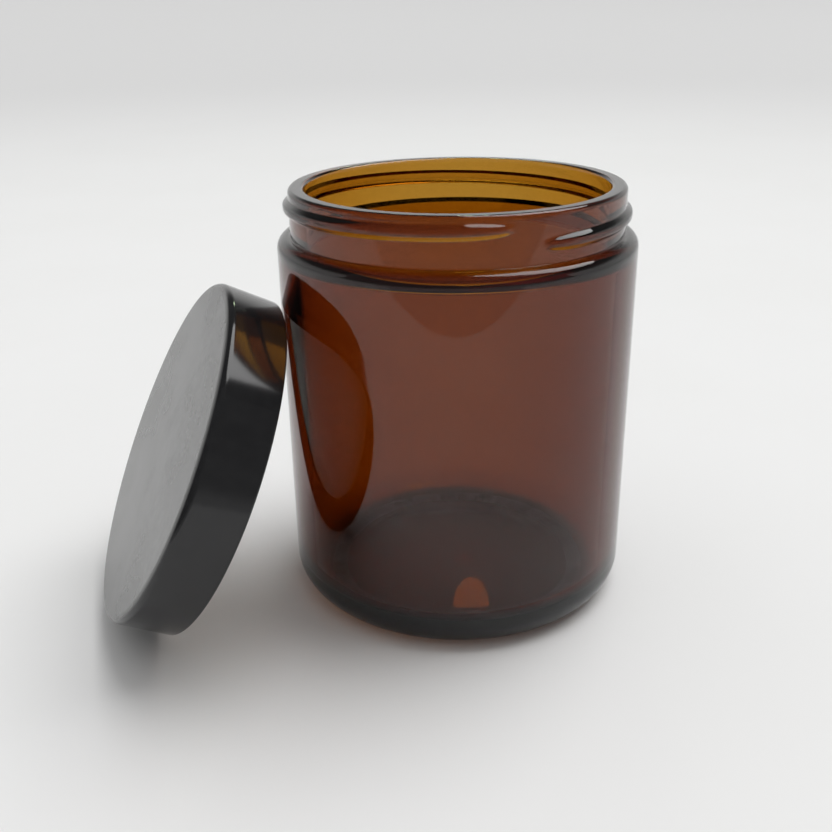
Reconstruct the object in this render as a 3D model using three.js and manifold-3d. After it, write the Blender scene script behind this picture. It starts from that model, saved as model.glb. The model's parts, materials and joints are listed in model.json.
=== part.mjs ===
// Straight-sided amber glass jar, empty, with its loose screw lid leaning against the wall.
// Millimetres, +Z up, floor at z = 0. The lid stands on the -X side of the jar.
import * as THREE from 'three';
import { mergeVertices } from 'three/addons/utils/BufferGeometryUtils.js';
import Module from 'manifold-3d';

const wasm = await Module();
wasm.setup();

// Glass jar
const bodyRadius = 36.5;
const jarHeight = 87.4;
const heelRadius = 6.8;
const wallThickness = 4.0;
const floorThickness = 4.5;
const innerHeelRadius = 5.0;
const pushUpRadius = 25.5;
const pushUpHeight = 1.6;
const shoulderCorner = 2.4;

// Neck finish: one right-hand turn of rounded glass thread under a plain sealing land
const finishHeight = 9.4;
const neckRadius = 33.75;
const neckWall = 3.25;
const neckFillet = 0.3;
const rimOuterRound = 0.9;
const rimInnerRound = 0.8;
const innerShoulderDepth = 2.6;
const innerShoulderDrop = 2.0;
const threadPitch = 3.4;
const threadDepth = 1.15;
const threadRootWidth = 3.1;
const threadCrestWidth = 0.9;
const threadTurnDegrees = 348;
const threadTopDrop = 2.6;
const threadTopAngle = -93;

// Lid shell and its liner
const lidWall = 0.9;
const lidTopThickness = 1.4;
const lidTopRound = 1.5;
const lidInnerRound = 0.6;
const lidRimRound = 0.35;
const lidThreadClearance = 0.15;
const lidThreadDepth = 1.0;
const lidThreadRootWidth = 1.8;
const lidThreadCrestWidth = 0.7;
const lidThreadTurnDegrees = 430;
const lidThreadRimDrop = 1.6;
const linerThickness = 1.0;
const linerEdgeClearance = 0.55;
const linerGap = 0.25;

// Gaps of the lid screwed home: liner to rim, and skirt to shoulder
const sealGap = 0.25;
const skirtGap = 0.3;

// How the lid leans: angle from the vertical, gap to the glass, and its offset along the wall
const leanAngle = 26.35;
const leanGap = 0.3;
const leanSideOffset = 1.7;

// Facets
const turnSegments = 60;
const curveSteps = 2;
const threadStep = 6;
const threadRunOut = 14;
const threadRootDepth = 0.5;

// Sizes that follow from the ones above
const innerRadius = bodyRadius - wallThickness;
const mouthRadius = neckRadius - neckWall;
const shoulderHeight = jarHeight - finishHeight;
const innerShoulderTop = shoulderHeight - innerShoulderDepth;
const lidInnerRadius = neckRadius + threadDepth + lidThreadClearance;
const lidRadius = lidInnerRadius + lidWall;
const linerBottom = finishHeight - skirtGap + sealGap;
const linerTop = linerBottom + linerThickness;
const lidUnderside = linerTop + linerGap;
const lidHeight = lidUnderside + lidTopThickness;

const degrees = THREE.MathUtils.degToRad;

// A path of radius and height turned about the vertical axis
function revolve(path) {
  const geometry = new THREE.LatheGeometry(path.getPoints(curveSteps), turnSegments);
  return geometry.rotateX(Math.PI / 2);
}

function weld(geometry) {
  geometry.deleteAttribute('normal');
  geometry.deleteAttribute('uv');
  return mergeVertices(geometry, 1e-4);
}

function toSolid(geometry) {
  const merged = weld(geometry);
  const corners = merged.index.array;
  const triangles = [];
  for (let i = 0; i < corners.length; i += 3) {
    const [a, b, c] = corners.slice(i, i + 3);
    if (a !== b && b !== c && c !== a) triangles.push(a, b, c);
  }
  const vertProperties = new Float32Array(merged.attributes.position.array);
  const triVerts = new Uint32Array(triangles);
  return new wasm.Manifold(new wasm.Mesh({ numProp: 3, vertProperties, triVerts }));
}

function toGeometry(solid) {
  const { vertProperties, triVerts } = solid.getMesh();
  const geometry = new THREE.BufferGeometry();
  geometry.setAttribute('position', new THREE.BufferAttribute(vertProperties, 3));
  geometry.setIndex(new THREE.BufferAttribute(triVerts, 1));
  geometry.computeVertexNormals();
  return geometry;
}

// A ridge that climbs a wall as a right-hand helix: a long box, bent round and tapered at both ends.
// side is 1 for a ridge outside the wall and -1 for one inside it. The helix starts at its lower end.
function threadRidge({ wallRadius, side, depth, rootWidth, crestWidth, turnDegrees, startAngle, startHeight }) {
  const steps = Math.round(turnDegrees / threadStep);
  const box = weld(new THREE.BoxGeometry(1, 1, 1, 1, 3, steps));
  const position = box.attributes.position;
  for (let i = 0; i < position.count; i++) {
    const onCrest = position.getX(i) > 0;
    const across = position.getY(i) * 2;
    const along = position.getZ(i) + 0.5;
    const turned = along * turnDegrees;
    const toEnd = Math.min(turned, turnDegrees - turned, threadRunOut) / threadRunOut;
    const full = Math.sqrt(1 - (1 - toEnd) ** 2);
    const crown = 1 - 0.25 * across ** 2;
    const width = THREE.MathUtils.lerp(crestWidth * 0.5, onCrest ? crestWidth : rootWidth, full);
    const reach = onCrest ? full * depth * crown - (1 - full) * threadRootDepth * 0.5 : -threadRootDepth;
    const radius = wallRadius + side * reach;
    const angle = degrees(startAngle + turned);
    const height = startHeight + threadPitch * turned / 360 + across * width / 2;
    position.setXYZ(i, radius * Math.cos(angle), radius * Math.sin(angle), height);
  }
  if (side > 0) flipFaces(box);
  return box;
}

function flipFaces(geometry) {
  const corners = geometry.index.array;
  for (let i = 0; i < corners.length; i += 3) {
    [corners[i], corners[i + 1]] = [corners[i + 1], corners[i]];
  }
}

function jarGeometry() {
  const wall = new THREE.Path();
  wall.moveTo(0, pushUpHeight);
  wall.quadraticCurveTo(pushUpRadius * 0.75, pushUpHeight, pushUpRadius, 0);
  wall.lineTo(bodyRadius - heelRadius, 0);
  wall.absarc(bodyRadius - heelRadius, heelRadius, heelRadius, -Math.PI / 2, 0, false);
  wall.absarc(bodyRadius - shoulderCorner, shoulderHeight - shoulderCorner, shoulderCorner, 0, Math.PI / 2, false);
  wall.absarc(neckRadius + neckFillet, shoulderHeight + neckFillet, neckFillet, -Math.PI / 2, -Math.PI, true);
  wall.absarc(neckRadius - rimOuterRound, jarHeight - rimOuterRound, rimOuterRound, 0, Math.PI / 2, false);
  wall.absarc(mouthRadius + rimInnerRound, jarHeight - rimInnerRound, rimInnerRound, Math.PI / 2, Math.PI, false);
  wall.lineTo(mouthRadius, innerShoulderTop);
  wall.bezierCurveTo(
    mouthRadius, innerShoulderTop - innerShoulderDrop / 2,
    innerRadius, innerShoulderTop - innerShoulderDrop / 2,
    innerRadius, innerShoulderTop - innerShoulderDrop,
  );
  wall.absarc(innerRadius - innerHeelRadius, floorThickness + innerHeelRadius, innerHeelRadius, 0, -Math.PI / 2, true);
  wall.lineTo(0, floorThickness);

  const thread = threadRidge({
    wallRadius: neckRadius,
    side: 1,
    depth: threadDepth,
    rootWidth: threadRootWidth,
    crestWidth: threadCrestWidth,
    turnDegrees: threadTurnDegrees,
    startAngle: threadTopAngle - threadTurnDegrees,
    startHeight: jarHeight - threadTopDrop - threadPitch * threadTurnDegrees / 360,
  });
  return toGeometry(toSolid(revolve(wall)).add(toSolid(thread)));
}

// The lid is made with its open rim at z = 0 and its top up, then leaned
function lidGeometry() {
  const shell = new THREE.Path();
  shell.moveTo(0, lidUnderside);
  shell.lineTo(lidInnerRadius - lidInnerRound, lidUnderside);
  shell.absarc(lidInnerRadius - lidInnerRound, lidUnderside - lidInnerRound, lidInnerRound, Math.PI / 2, 0, true);
  shell.absarc(lidInnerRadius + lidRimRound, lidRimRound, lidRimRound, Math.PI, Math.PI * 1.5, false);
  shell.absarc(lidRadius - lidRimRound, lidRimRound, lidRimRound, -Math.PI / 2, 0, false);
  shell.absarc(lidRadius - lidTopRound, lidHeight - lidTopRound, lidTopRound, 0, Math.PI / 2, false);
  shell.lineTo(0, lidHeight);

  const thread = threadRidge({
    wallRadius: lidInnerRadius,
    side: -1,
    depth: lidThreadDepth,
    rootWidth: lidThreadRootWidth,
    crestWidth: lidThreadCrestWidth,
    turnDegrees: lidThreadTurnDegrees,
    startAngle: 0,
    startHeight: lidThreadRimDrop,
  });
  return toGeometry(toSolid(revolve(shell)).add(toSolid(thread)));
}

function linerGeometry() {
  const radius = lidInnerRadius - linerEdgeClearance;
  const disc = new THREE.Path();
  disc.moveTo(0, linerBottom);
  disc.lineTo(radius, linerBottom);
  disc.lineTo(radius, linerTop);
  disc.lineTo(0, linerTop);
  return toGeometry(toSolid(revolve(disc)));
}

function namedMesh(name, geometry, material) {
  const mesh = new THREE.Mesh(geometry, material);
  mesh.name = name;
  return mesh;
}

const amberGlass = new THREE.MeshStandardMaterial({ color: 0x8a4a14, roughness: 0.05, metalness: 0 });
const blackPlastic = new THREE.MeshStandardMaterial({ color: 0x1c1c1e, roughness: 0.35, metalness: 0 });
const whiteFoam = new THREE.MeshStandardMaterial({ color: 0xf0efeb, roughness: 0.8, metalness: 0 });

// The lid's axis tips back from the horizontal by the lean angle, its open side towards the jar.
// The lower edge of its open rim meets the floor, and the upper edge comes up to the glass.
const lidGroup = new THREE.Group();
lidGroup.add(namedMesh('lid_shell', lidGeometry(), blackPlastic));
lidGroup.add(namedMesh('liner', linerGeometry(), whiteFoam));
lidGroup.rotation.y = degrees(leanAngle - 90);
const leaned = new THREE.Box3().setFromObject(lidGroup, true);
lidGroup.position.set(-bodyRadius - leanGap - leaned.max.x, leanSideOffset, -leaned.min.z);

const pair = new THREE.Group();
pair.add(namedMesh('glass_jar', jarGeometry(), amberGlass));
pair.add(lidGroup);

// The origin is the middle of the footprint of the jar and lid together
const footprint = new THREE.Box3().setFromObject(pair, true).getCenter(new THREE.Vector3());
pair.position.set(-footprint.x, -footprint.y, 0);

const cosmeticJar = new THREE.Group();
cosmeticJar.add(pair);

export default cosmeticJar;
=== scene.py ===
import json
from math import atan2, cos, hypot, pi, radians, sin

import bpy
from mathutils import Matrix, Vector


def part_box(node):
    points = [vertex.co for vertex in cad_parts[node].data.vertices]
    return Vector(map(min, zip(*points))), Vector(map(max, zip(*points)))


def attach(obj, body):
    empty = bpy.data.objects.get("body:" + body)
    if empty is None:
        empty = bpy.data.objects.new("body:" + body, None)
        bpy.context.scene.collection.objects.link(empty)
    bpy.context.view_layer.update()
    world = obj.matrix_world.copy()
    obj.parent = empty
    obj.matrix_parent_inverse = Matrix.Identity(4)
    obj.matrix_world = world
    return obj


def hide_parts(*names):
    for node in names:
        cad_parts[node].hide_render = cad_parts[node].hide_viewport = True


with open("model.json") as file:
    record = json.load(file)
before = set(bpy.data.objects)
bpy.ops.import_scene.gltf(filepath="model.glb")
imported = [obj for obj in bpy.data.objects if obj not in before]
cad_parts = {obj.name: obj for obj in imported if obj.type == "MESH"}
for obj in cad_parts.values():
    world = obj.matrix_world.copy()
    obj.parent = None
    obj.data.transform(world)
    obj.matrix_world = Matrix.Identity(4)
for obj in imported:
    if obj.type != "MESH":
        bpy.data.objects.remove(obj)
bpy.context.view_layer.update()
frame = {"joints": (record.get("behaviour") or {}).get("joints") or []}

# An open, empty amber glass cream jar, with its black screw lid leaning on the wall.
# The dictionaries are in millimetres and degrees, Blender itself in metres.
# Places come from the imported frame; the sizes repeat the ones the CAD parts were made to.
mm = 0.001

jarLow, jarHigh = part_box("glass_jar")
jarFoot = Vector(((jarLow.x + jarHigh.x) / 2, (jarLow.y + jarHigh.y) / 2, jarLow.z))
linerHinge = next(joint for joint in frame["joints"] if joint["name"] == "liner_turn")
lidAxis = Vector(linerHinge["axis"]).normalized()    # out through the lid's flat top
lidTurn = atan2(lidAxis.x, lidAxis.z)    # about Y, from standing square to leaning


camera = {
    "distance": 199.4,    # in front of the jar's axis
    "height": 121.8,
    "around": -18.9,    # seen a little from the lid's side
    "pitch": 23.17,
    "yaw": -2.56,
    "roll": -0.96,
    "lens": 42.54,    # on a 36 mm sensor
}


def placeCamera():
    data = bpy.data.cameras.new("camera")
    data.sensor_width = 36
    data.lens = camera["lens"]
    data.clip_start = 0.01
    shot = bpy.data.objects.new("camera", data)
    bpy.context.collection.objects.link(shot)
    around = Matrix.Rotation(radians(camera["around"]), 4, "Z")
    standing = Matrix.Translation((0, -camera["distance"] * mm, camera["height"] * mm))
    yaw = Matrix.Rotation(radians(-camera["yaw"]), 4, "Z")
    pitch = Matrix.Rotation(radians(90 - camera["pitch"]), 4, "X")
    roll = Matrix.Rotation(radians(camera["roll"]), 4, "Z")
    shot.matrix_world = Matrix.Translation(jarFoot) @ around @ standing @ yaw @ pitch @ roll
    bpy.context.scene.camera = shot


placeCamera()
print("camera placed")


# Node helpers: a term may be a socket or a plain value

def feed(socket, term):
    if isinstance(term, bpy.types.NodeSocket):
        socket.id_data.links.new(term, socket)
    else:
        socket.default_value = term


def addNode(tree, kind, settings=None, **terms):
    node = tree.nodes.new(kind)
    for name, value in (settings or {}).items():
        setattr(node, name, value)
    for name, term in terms.items():
        feed(node.inputs[name.replace("_", " ")], term)
    return node


def calc(tree, operation, *terms):
    node = tree.nodes.new("ShaderNodeMath")
    node.operation = operation
    for socket, term in zip(node.inputs, terms):
        feed(socket, term)
    return node.outputs[0]


def clamped(tree, term):
    node = tree.nodes.new("ShaderNodeClamp")
    feed(node.inputs["Value"], term)
    return node.outputs[0]


# One node tree turns an outline about the Z axis and raises a screw thread from one wall of it.
# The outline is the object's own mesh: points in order, radius along X and height along Z.

wallSizes = {
    "Steps": "NodeSocketInt",
    "Wall Radius": "NodeSocketFloat",    # the wall that carries the thread
    "Thread Depth": "NodeSocketFloat",    # outwards, or inwards if negative
    "Thread Width": "NodeSocketFloat",
    "Pitch": "NodeSocketFloat",
    "Thread Turn": "NodeSocketFloat",
    "Top Angle": "NodeSocketFloat",
    "Top Height": "NodeSocketFloat",
    "Run Out": "NodeSocketFloat",
    "Finish": "NodeSocketMaterial",
}


def threadSwell(tree, sizes, angle, height, lap):
    # how far one lap of the thread has risen at this angle and height, from 0 to 1
    behind = calc(tree, "SUBTRACT", sizes["Top Angle"], angle)
    behind = calc(tree, "FLOORED_MODULO", behind, 2 * pi)
    behind = calc(tree, "ADD", behind, lap * 2 * pi)
    ahead = calc(tree, "SUBTRACT", sizes["Thread Turn"], behind)
    toEnd = calc(tree, "MINIMUM", behind, ahead)
    toEnd = clamped(tree, calc(tree, "DIVIDE", toEnd, sizes["Run Out"]))
    short = calc(tree, "SUBTRACT", 1, toEnd)
    full = calc(tree, "SQRT", calc(tree, "SUBTRACT", 1, calc(tree, "MULTIPLY", short, short)))
    climb = calc(tree, "MULTIPLY", sizes["Pitch"], calc(tree, "DIVIDE", behind, 2 * pi))
    offCentre = calc(tree, "ADD", calc(tree, "SUBTRACT", height, sizes["Top Height"]), climb)
    halfWidth = calc(tree, "MULTIPLY", sizes["Thread Width"], 0.5)
    halfWidth = calc(tree, "MULTIPLY", halfWidth, calc(tree, "MULTIPLY_ADD", full, 0.65, 0.35))
    across = clamped(tree, calc(tree, "DIVIDE", calc(tree, "ABSOLUTE", offCentre), halfWidth))
    rounded = calc(tree, "SUBTRACT", 1, calc(tree, "POWER", across, 3))
    return calc(tree, "MULTIPLY", full, calc(tree, "POWER", rounded, 1.5))


def makeTurnedWall():
    tree = bpy.data.node_groups.new("turned wall", "GeometryNodeTree")
    tree.interface.new_socket(name="Outline", in_out="INPUT", socket_type="NodeSocketGeometry")
    for name, kind in wallSizes.items():
        tree.interface.new_socket(name=name, in_out="INPUT", socket_type=kind)
    tree.interface.new_socket(name="Wall", in_out="OUTPUT", socket_type="NodeSocketGeometry")
    sizes = addNode(tree, "NodeGroupInput").outputs

    counted = addNode(tree, "GeometryNodeAttributeDomainSize", Geometry=sizes["Outline"])
    rows = counted.outputs["Point Count"]
    columns = calc(tree, "ADD", sizes["Steps"], 1)
    grid = addNode(tree, "GeometryNodeMeshGrid", Vertices_X=columns, Vertices_Y=rows)
    index = addNode(tree, "GeometryNodeInputIndex").outputs[0]
    column = calc(tree, "FLOOR", calc(tree, "DIVIDE", index, rows))
    row = calc(tree, "MODULO", index, rows)
    asPoints = {"data_type": "FLOAT_VECTOR", "domain": "POINT"}
    sample = addNode(tree, "GeometryNodeSampleIndex", asPoints)
    feed(sample.inputs["Geometry"], sizes["Outline"])
    feed(sample.inputs["Value"], addNode(tree, "GeometryNodeInputPosition").outputs[0])
    feed(sample.inputs["Index"], row)
    outline = addNode(tree, "ShaderNodeSeparateXYZ", Vector=sample.outputs[0]).outputs

    turned = calc(tree, "DIVIDE", column, sizes["Steps"])
    angle = calc(tree, "MULTIPLY", turned, 2 * pi)
    laps = [threadSwell(tree, sizes, angle, outline["Z"], lap) for lap in (0, 1)]
    swell = calc(tree, "MAXIMUM", *laps)
    onWall = calc(tree, "COMPARE", outline["X"], sizes["Wall Radius"], 0.02 * mm)
    lift = calc(tree, "MULTIPLY", calc(tree, "MULTIPLY", swell, sizes["Thread Depth"]), onWall)
    radius = calc(tree, "ADD", outline["X"], lift)
    place = addNode(tree, "ShaderNodeCombineXYZ", Z=outline["Z"])
    feed(place.inputs["X"], calc(tree, "MULTIPLY", radius, calc(tree, "COSINE", angle)))
    feed(place.inputs["Y"], calc(tree, "MULTIPLY", radius, calc(tree, "SINE", angle)))

    moved = addNode(tree, "GeometryNodeSetPosition", Geometry=grid.outputs["Mesh"])
    feed(moved.inputs["Position"], place.outputs[0])
    closed = addNode(tree, "GeometryNodeMergeByDistance", Geometry=moved.outputs[0])
    closed.inputs["Distance"].default_value = 0.001 * mm
    smooth = addNode(tree, "GeometryNodeSetShadeSmooth", Geometry=closed.outputs[0])
    real = addNode(tree, "GeometryNodeRealizeInstances", Geometry=smooth.outputs[0])
    finished = addNode(tree, "GeometryNodeSetMaterial", Geometry=real.outputs[0])
    feed(finished.inputs["Material"], sizes["Finish"])
    feed(addNode(tree, "NodeGroupOutput").inputs["Wall"], finished.outputs[0])
    return tree


turnedWall = makeTurnedWall()


def arc(centre, radius, start, end, steps):
    angles = [radians(start + (end - start) * step / steps) for step in range(steps + 1)]
    return [(centre[0] + radius * cos(angle), centre[1] + radius * sin(angle)) for angle in angles]


def curve(start, control1, control2, end, steps):
    corners = (start, control1, control2, end)
    points = []
    for step in range(steps + 1):
        t = step / steps
        weights = ((1 - t) ** 3, 3 * t * (1 - t) ** 2, 3 * t ** 2 * (1 - t), t ** 3)
        r = sum(weight * corner[0] for weight, corner in zip(weights, corners))
        z = sum(weight * corner[1] for weight, corner in zip(weights, corners))
        points.append((r, z))
    return points


def apart(first, second):
    return hypot(second[0] - first[0], second[1] - first[1])


def joinUp(*stretches, gap=7.0, fine=None):
    # joins the stretches by straight walls, with a close row beside each end to keep the shading flat
    beside = 0.15
    points = []
    for number, stretch in enumerate(stretches):
        if points:
            (r0, z0), (r1, z1) = points[-1], stretch[0]
            length = apart(points[-1], stretch[0])
            spacing = fine["gap"] if fine and number == fine["before"] else gap
            inner = max(0, length - 2 * beside)
            count = max(1, round(inner / spacing))
            if length > 0.5:
                for step in range(count + 1):
                    along = (beside + inner * step / count) / length
                    points.append((r0 + (r1 - r0) * along, z0 + (z1 - z0) * along))
        points += [point for point in stretch if not points or apart(points[-1], point) > 0.01]
    return points


def turnWall(name, outline, thread, finish, place, steps):
    mesh = bpy.data.meshes.new(name)
    mesh.from_pydata([(r * mm, 0, z * mm) for r, z in outline], [], [])
    piece = bpy.data.objects.new(name, mesh)
    bpy.context.collection.objects.link(piece)
    modifier = piece.modifiers.new("turned wall", "NODES")
    modifier.node_group = turnedWall
    values = {
        "Steps": steps,
        "Wall Radius": thread["wallRadius"] * mm,
        "Thread Depth": thread["depth"] * mm,
        "Thread Width": thread["width"] * mm,
        "Pitch": thread["pitch"] * mm,
        "Thread Turn": radians(thread["turn"]),
        "Top Angle": radians(thread["topAngle"]),
        "Top Height": thread["topHeight"] * mm,
        "Run Out": radians(thread["runOut"]),
        "Finish": finish,
    }
    for item in turnedWall.interface.items_tree:
        if item.in_out == "INPUT" and item.name in values:
            modifier[item.identifier] = values[item.name]
    evaluated = piece.evaluated_get(bpy.context.evaluated_depsgraph_get())
    solid = bpy.data.meshes.new_from_object(evaluated)
    solid.name = name
    piece.modifiers.remove(modifier)
    piece.data = solid
    bpy.data.meshes.remove(mesh)
    solid.transform(place)
    return piece


noThread = {
    "wallRadius": -1,    # no wall is there
    "depth": 0,
    "width": 1,
    "pitch": 1,
    "turn": 0,
    "topAngle": 0,
    "topHeight": 0,
    "runOut": 1,
}


# Finishes

def startFinish(name):
    material = bpy.data.materials.new(name)
    material.use_nodes = True
    tree = material.node_tree
    shader = tree.nodes["Principled BSDF"]
    return material, tree, shader


def ownPlace(tree, centre, turn=0):
    # coordinates of the piece itself, in metres, with its own axis along Z
    where = addNode(tree, "ShaderNodeTexCoord").outputs["Object"]
    mapping = addNode(tree, "ShaderNodeMapping", {"vector_type": "TEXTURE"}, Vector=where)
    mapping.inputs["Location"].default_value = centre
    mapping.inputs["Rotation"].default_value = (0, turn, 0)
    return mapping.outputs[0]


def noise(tree, where, scale, detail=3.0, stretch=(1, 1, 1), roughness=0.5):
    scaled = addNode(tree, "ShaderNodeMapping", Vector=where, Scale=stretch)
    texture = addNode(tree, "ShaderNodeTexNoise", Vector=scaled.outputs[0], Scale=scale, Detail=detail)
    texture.inputs["Roughness"].default_value = roughness
    return texture.outputs[0]


def spread(tree, term, low, high, toLow, toHigh):
    node = addNode(tree, "ShaderNodeMapRange", {"interpolation_type": "SMOOTHSTEP"}, Value=term)
    names = ("From Min", "From Max", "To Min", "To Max")
    for name, value in zip(names, (low, high, toLow, toHigh)):
        node.inputs[name].default_value = value
    return node.outputs[0]


def mixed(tree, amount, first, second):
    # a colour between two others, either of which may be a socket
    node = addNode(tree, "ShaderNodeMix", {"data_type": "RGBA"})
    feed(node.inputs[0], amount)
    for socket, tone in ((node.inputs[6], first), (node.inputs[7], second)):
        feed(socket, tone if isinstance(tone, bpy.types.NodeSocket) else (*tone, 1))
    return node.outputs[2]


def addBump(tree, shader, height, distance, strength=1):
    bump = addNode(tree, "ShaderNodeBump", Height=height, Distance=distance, Strength=strength)
    feed(shader.inputs["Normal"], bump.outputs[0])


glassLook = {
    "absorbed": (0.812, 0.646, 0.154),
    "density": 1300,    # per metre
    "wave": 0.010,    # mm, the faint unevenness of moulded glass
    "haze": 0.035,    # roughness of handled patches
}


def makeAmberGlass():
    material, tree, shader = startFinish("amber_glass")
    where = ownPlace(tree, jarFoot)
    shader.inputs["Base Color"].default_value = (1, 1, 1, 1)
    shader.inputs["Transmission Weight"].default_value = 1
    shader.inputs["IOR"].default_value = 1.52
    handled = noise(tree, where, 45, detail=4)
    feed(shader.inputs["Roughness"], spread(tree, handled, 0.45, 0.75, 0.0, glassLook["haze"]))
    uneven = noise(tree, where, 38, detail=1, stretch=(1, 1, 0.45))
    addBump(tree, shader, uneven, glassLook["wave"] * mm)
    volume = addNode(tree, "ShaderNodeVolumeAbsorption")
    volume.inputs["Color"].default_value = (*glassLook["absorbed"], 1)
    volume.inputs["Density"].default_value = glassLook["density"]
    feed(tree.nodes["Material Output"].inputs["Volume"], volume.outputs[0])
    return material


jar = {
    "radius": 36.5,
    "height": 87.4,
    "wall": 4.0,
    "floor": 4.5,
    "heel": 6.8,
    "innerHeel": 5.0,
    "pushUp": 25.5,    # radius of the hollow under the base
    "pushUpHeight": 1.6,
    "shoulder": 78.0,
    "shoulderCorner": 2.4,
    "innerShoulderTop": 75.4,    # where the inside starts to widen under the neck
    "innerShoulderDrop": 2.0,
    "neck": 33.75,
    "mouth": 30.5,
    "neckFillet": 0.3,
    "rimOuter": 0.9,
    "rimInner": 0.8,
}
jarThread = {
    "wallRadius": jar["neck"],
    "depth": 1.15,
    "width": 3.1,
    "pitch": 3.4,
    "turn": 348,
    "topAngle": -93,
    "topHeight": jar["height"] - 2.6,
    "runOut": 14,
}


def jarOutline():
    inner = jar["radius"] - jar["wall"]
    shoulder = jar["shoulder"]
    corner = jar["shoulderCorner"]
    fillet = jar["neckFillet"]
    rise = jar["pushUpHeight"]
    pushUp = [(jar["pushUp"] * step / 12, rise * (1 - (step / 12) ** 2.4)) for step in range(13)]
    top = jar["innerShoulderTop"]
    middle = top - jar["innerShoulderDrop"] / 2
    bottom = top - jar["innerShoulderDrop"]
    return joinUp(
        pushUp,
        arc((jar["radius"] - jar["heel"], jar["heel"]), jar["heel"], -90, 0, 14),
        arc((jar["radius"] - corner, shoulder - corner), corner, 0, 90, 10),
        arc((jar["neck"] + fillet, shoulder + fillet), fillet, -90, -180, 6),
        arc((jar["neck"] - jar["rimOuter"], jar["height"] - jar["rimOuter"]), jar["rimOuter"], 0, 90, 8),
        arc((jar["mouth"] + jar["rimInner"], jar["height"] - jar["rimInner"]), jar["rimInner"], 90, 180, 8),
        curve((jar["mouth"], top), (jar["mouth"], middle), (inner, middle), (inner, bottom), 18),
        arc((inner - jar["innerHeel"], jar["floor"] + jar["innerHeel"]), jar["innerHeel"], 0, -90, 16),
        [(0, jar["floor"])],
        fine={"before": 4, "gap": 0.14},
    )


amberGlass = makeAmberGlass()
glassJar = turnWall("jar_glass", jarOutline(), jarThread, amberGlass, Matrix.Translation(jarFoot), 288)
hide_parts("glass_jar")
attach(glassJar, "jar")
print("jar made:", len(glassJar.data.polygons), "faces")


lid = {
    "innerRadius": 35.05,
    "wall": 0.9,
    "underside": 10.6,
    "height": 12.0,
    "topRound": 1.5,
    "innerRound": 0.6,
    "rimRound": 0.35,
}
lidThread = {
    "wallRadius": lid["innerRadius"],
    "depth": -1.0,
    "width": 1.8,
    "pitch": 3.4,
    "turn": 430,
    "topAngle": 430,
    "topHeight": 1.6 + 3.4 * 430 / 360,
    "runOut": 14,
}
liner = {
    "radius": 34.5,
    "bottom": 9.35,
    "top": 10.35,
    "edge": 0.15,
    "sealRing": 32.1,    # where the jar's rim has pressed
    "sealWidth": 1.6,
    "sealDepth": 0.06,
}
rimCentre = Vector(linerHinge["pos_m"]) - lidAxis * (liner["bottom"] + liner["top"]) / 2 * mm
lidPlace = Matrix.Translation(rimCentre) @ Matrix.Rotation(lidTurn, 4, "Y")


def lidOutline():
    outer = lid["innerRadius"] + lid["wall"]
    inner = lid["innerRadius"]
    hollow = lid["innerRound"]
    rim = lid["rimRound"]
    return joinUp(
        [(0, lid["underside"])],
        arc((inner - hollow, lid["underside"] - hollow), hollow, 90, 0, 5),
        arc((inner + rim, rim), rim, 180, 270, 5),
        arc((outer - rim, rim), rim, -90, 0, 5),
        arc((outer - lid["topRound"], lid["height"] - lid["topRound"]), lid["topRound"], 0, 90, 10),
        [(0, lid["height"])],
        fine={"before": 2, "gap": 0.16},
    )


lidLook = {
    "colour": (0.010, 0.010, 0.011),
    "mottle": (0.013, 0.013, 0.014),
    # painted sheen: the flat top is painted a lighter grey to stand in for the pale gleam its satin face
    # shows at a grazing view; the plastic itself is one black throughout
    "paintedTopSheen": (0.13, 0.13, 0.13),
    "topRoughness": 0.26,
    "skirtRoughness": 0.11,
    "grain": 0.005,    # mm, the fine texture of the flat top
    "ripple": 0.007,    # mm, the slow waviness of the skirt
}


def makeLidPlastic():
    material, tree, shader = startFinish("lid_plastic")
    where = ownPlace(tree, rimCentre, lidTurn)
    height = addNode(tree, "ShaderNodeSeparateXYZ", Vector=where).outputs["Z"]
    onTop = spread(tree, height, 11.55 * mm, 11.9 * mm, 0, 1)
    mottle = spread(tree, noise(tree, where, 500, detail=4), 0.35, 0.7, 0, 1)
    tone = mixed(tree, mottle, lidLook["colour"], lidLook["mottle"])
    # the flat top takes the painted sheen colour, and the skirt keeps the plastic's own black with its
    # random mottle
    feed(shader.inputs["Base Color"], mixed(tree, onTop, tone, lidLook["paintedTopSheen"]))
    rubbed = spread(tree, noise(tree, where, 60, detail=5), 0.3, 0.8, -0.02, 0.03)
    level = spread(tree, onTop, 0, 1, lidLook["skirtRoughness"], lidLook["topRoughness"])
    feed(shader.inputs["Roughness"], calc(tree, "ADD", level, rubbed))
    shader.inputs["IOR"].default_value = 1.5
    grain = noise(tree, where, 5200, detail=2)
    ripple = noise(tree, where, 55, detail=1)
    fine = calc(tree, "MULTIPLY", grain, calc(tree, "MULTIPLY", onTop, lidLook["grain"]))
    height = calc(tree, "ADD", fine, calc(tree, "MULTIPLY", ripple, lidLook["ripple"]))
    addBump(tree, shader, height, mm)
    return material


lidPlastic = makeLidPlastic()
lidShell = turnWall("lid_plastic", lidOutline(), lidThread, lidPlastic, lidPlace, 288)
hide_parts("lid_shell")
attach(lidShell, "lid")
print("lid made:", len(lidShell.data.polygons), "faces")


def linerOutline():
    radius = liner["radius"]
    edge = liner["edge"]
    start = liner["sealRing"] - liner["sealWidth"]
    seal = []
    for step in range(13):
        dip = liner["sealDepth"] * sin(pi * step / 12) ** 2
        seal.append((start + liner["sealWidth"] * 2 * step / 12, liner["bottom"] + dip))
    return joinUp(
        [(0, liner["bottom"])],
        seal,
        arc((radius - edge, liner["bottom"] + edge), edge, -90, 0, 4),
        arc((radius - edge, liner["top"] - edge), edge, 0, 90, 4),
        [(0, liner["top"])],
    )


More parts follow.
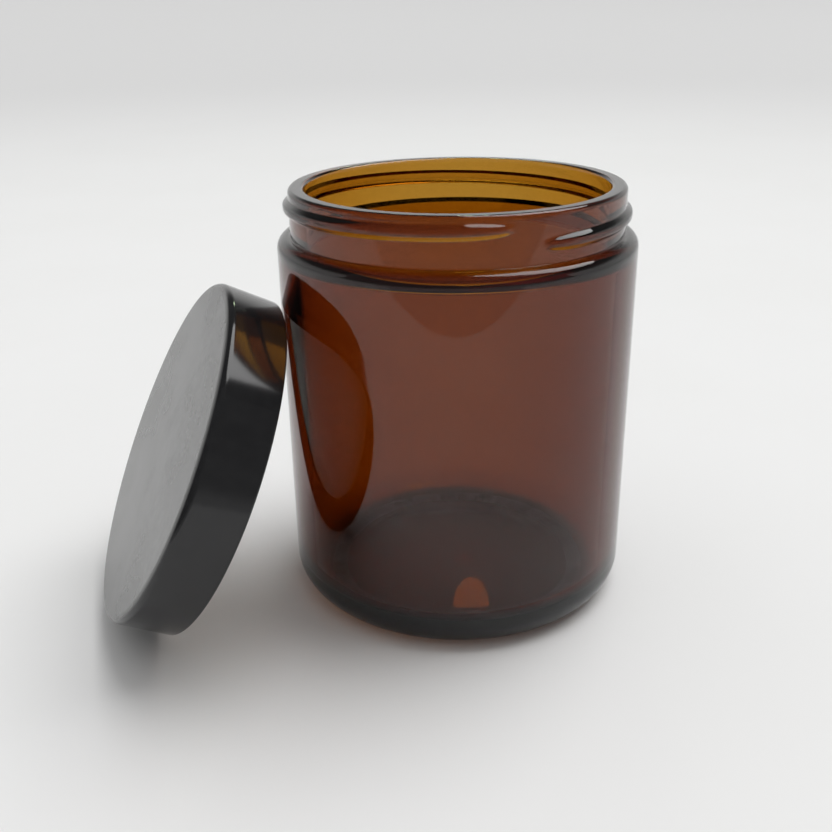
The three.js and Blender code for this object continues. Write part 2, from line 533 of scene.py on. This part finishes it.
foamLook = {
    "colour": (0.86, 0.85, 0.82),
    "shade": (0.78, 0.77, 0.73),
    "cells": 2600,    # to the metre
    "cellDepth": 0.05,
}


def makeFoam():
    material, tree, shader = startFinish("liner_foam")
    where = ownPlace(tree, rimCentre, lidTurn)
    cells = addNode(tree, "ShaderNodeTexVoronoi", Vector=where, Scale=foamLook["cells"])
    shade = spread(tree, noise(tree, where, 240, detail=3), 0.3, 0.8, 0, 1)
    feed(shader.inputs["Base Color"], mixed(tree, shade, foamLook["colour"], foamLook["shade"]))
    feed(shader.inputs["Roughness"], spread(tree, cells.outputs["Distance"], 0, 0.6, 0.9, 0.65))
    addBump(tree, shader, cells.outputs["Distance"], foamLook["cellDepth"] * mm, 0.6)
    return material


linerDisc = turnWall("liner_foam", linerOutline(), noThread, makeFoam(), lidPlace, 192)
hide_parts("liner")
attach(linerDisc, "lid_liner")
print("liner made:", len(linerDisc.data.polygons), "faces")


# The studio: a pale table that curves up far away, a soft light high on the right, and a dim screen.
# Its lengths are in metres, and its places are to the right, back and up as the camera stands.

studio = {
    "floorCurve": [(0, 0), (0.4, 0), (1.2, 0), (3, 0), (4.4, 0.02), (5.4, 0.12), (6, 0.3)],
    "floorTone": (0.80, 0.80, 0.80),
    "floorMottle": (0.788, 0.788, 0.785),
    "paintedFarShade": (0.64, 0.64, 0.64),    # painted shade: the table's colour darkens slowly between these distances, standing in for light falling off
    "floorNearEnd": 0.15,
    "floorFarEnd": 1.5,
    "sunRight": 24,    # degrees off straight down
    "sunBack": 14,
    "sunWidth": 46,
    "sunPower": 1.9,
    "fillBack": 13,    # a wide soft light that the gloss doesn't mirror
    "fillWidth": 110,
    "fillPower": 1.2,
    "roomTint": (1.0, 0.995, 0.985),
    "roomLow": 0.78,    # brightness of the backdrop near the table, and of the room above it
    "roomHigh": 0.10,
    "roomFadeFrom": 0.22,    # sine of the height where the backdrop starts to fade
    "roomFadeTo": 0.50,
    "lamp": (0.0255, 0.772, 0.54),    # small lamp behind
    "lampSize": 0.06,
    "lampPower": 0.10,
    "lampColour": (0.8, 1.0, 0.65),
    "screenFront": 0.235,    # where the dim screen in front of the jar meets the table
    "screenHalfWidth": 1.2,
    "screenHeight": 0.9,
    "screenFoot": 0.5,    # brightness at the table, and above
    "screenTone": 0.14,
    "screenFade": 0.05,    # height over which it dims
}
viewAround = Matrix.Rotation(radians(camera["around"]), 4, "Z")


def makeFloor():
    outline = [(r / mm, z / mm) for r, z in studio["floorCurve"]]
    material, tree, shader = startFinish("table")
    where = addNode(tree, "ShaderNodeTexCoord").outputs["Object"]
    mottle = spread(tree, noise(tree, where, 9, detail=4), 0.3, 0.7, 0, 1)
    tone = mixed(tree, mottle, studio["floorTone"], studio["floorMottle"])
    away = addNode(tree, "ShaderNodeVectorMath", {"operation": "LENGTH"}, Vector=where).outputs["Value"]
    # painted shade: the table's colour darkens with distance from the jar, standing in for light that falls
    # off far away
    far = spread(tree, away, studio["floorNearEnd"], studio["floorFarEnd"], 0, 1)
    feed(shader.inputs["Base Color"], mixed(tree, far, tone, studio["paintedFarShade"]))
    shader.inputs["Roughness"].default_value = 0.75
    floor = turnWall("table", outline, noThread, material, Matrix.Identity(4), 96)
    if floor.data.polygons[len(floor.data.polygons) // 2].normal.z < 0:
        floor.data.flip_normals()


def makeRoom():
    world = bpy.data.worlds.new("room")
    bpy.context.scene.world = world
    world.use_nodes = True
    tree = world.node_tree
    where = addNode(tree, "ShaderNodeTexCoord").outputs["Generated"]
    up = addNode(tree, "ShaderNodeSeparateXYZ", Vector=where).outputs["Z"]
    background = tree.nodes["Background"]
    background.inputs["Color"].default_value = (*studio["roomTint"], 1)
    fade = (studio["roomFadeFrom"], studio["roomFadeTo"])
    feed(background.inputs["Strength"], spread(tree, up, *fade, studio["roomLow"], studio["roomHigh"]))


def turnedBy(angle, axis):
    return Matrix.Rotation(radians(angle), 4, axis)


def addLight(name, kind, place, energy):
    data = bpy.data.lights.new(name, kind)
    data.energy = energy
    light = bpy.data.objects.new(name, data)
    bpy.context.collection.objects.link(light)
    light.matrix_world = Matrix.Translation(jarFoot) @ viewAround @ place
    light.visible_camera = False
    return light


def makeLights():
    tilt = turnedBy(studio["sunRight"], "Y") @ turnedBy(-studio["sunBack"], "X")
    sun = addLight("overhead", "SUN", tilt, studio["sunPower"])
    sun.data.angle = radians(studio["sunWidth"])
    fill = addLight("fill", "SUN", turnedBy(-studio["fillBack"], "X"), studio["fillPower"])
    fill.data.angle = radians(studio["fillWidth"])
    fill.visible_glossy = False
    spot = Vector(studio["lamp"])
    aim = (-spot).to_track_quat("-Z", "Y").to_matrix().to_4x4()
    lamp = addLight("lamp", "AREA", Matrix.Translation(spot) @ aim, studio["lampPower"])
    lamp.data.shape = "DISK"
    lamp.data.size = studio["lampSize"]
    lamp.data.color = studio["lampColour"]


def makeScreen():
    # a dim curved screen over the camera, seen only in the gloss of the glass and plastic
    ribs = 17
    deepest = 0.45    # how far it bows away from the jar
    overhang = 0.40    # and how far its top comes back over
    points = []
    for rib in range(ribs):
        turn = pi / 2 * rib / (ribs - 1)
        back = -studio["screenFront"] - deepest * sin(turn) + overhang * (1 - cos(turn))
        height = studio["screenHeight"] * (1 - cos(turn)) ** 0.8
        for side in (-1, 1):
            points.append((side * studio["screenHalfWidth"], back, height))
    faces = [(2 * rib, 2 * rib + 1, 2 * rib + 3, 2 * rib + 2) for rib in range(ribs - 1)]
    mesh = bpy.data.meshes.new("screen")
    mesh.from_pydata(points, [], faces)
    mesh.transform(Matrix.Translation(jarFoot) @ viewAround)
    material, tree, shader = startFinish("screen")
    shader.inputs["Base Color"].default_value = (0, 0, 0, 1)
    shader.inputs["Emission Color"].default_value = (1, 1, 1, 1)
    where = addNode(tree, "ShaderNodeTexCoord").outputs["Object"]
    up = addNode(tree, "ShaderNodeSeparateXYZ", Vector=where).outputs["Z"]
    glow = spread(tree, up, 0, studio["screenFade"], studio["screenFoot"], studio["screenTone"])
    feed(shader.inputs["Emission Strength"], glow)
    mesh.materials.append(material)
    screen = bpy.data.objects.new("screen", mesh)
    bpy.context.collection.objects.link(screen)
    screen.visible_camera = False
    screen.visible_diffuse = False
    screen.visible_shadow = False
    screen.visible_transmission = False


makeFloor()
makeRoom()
makeLights()
makeScreen()
bpy.context.scene.view_settings.view_transform = "Standard"
print("studio ready")
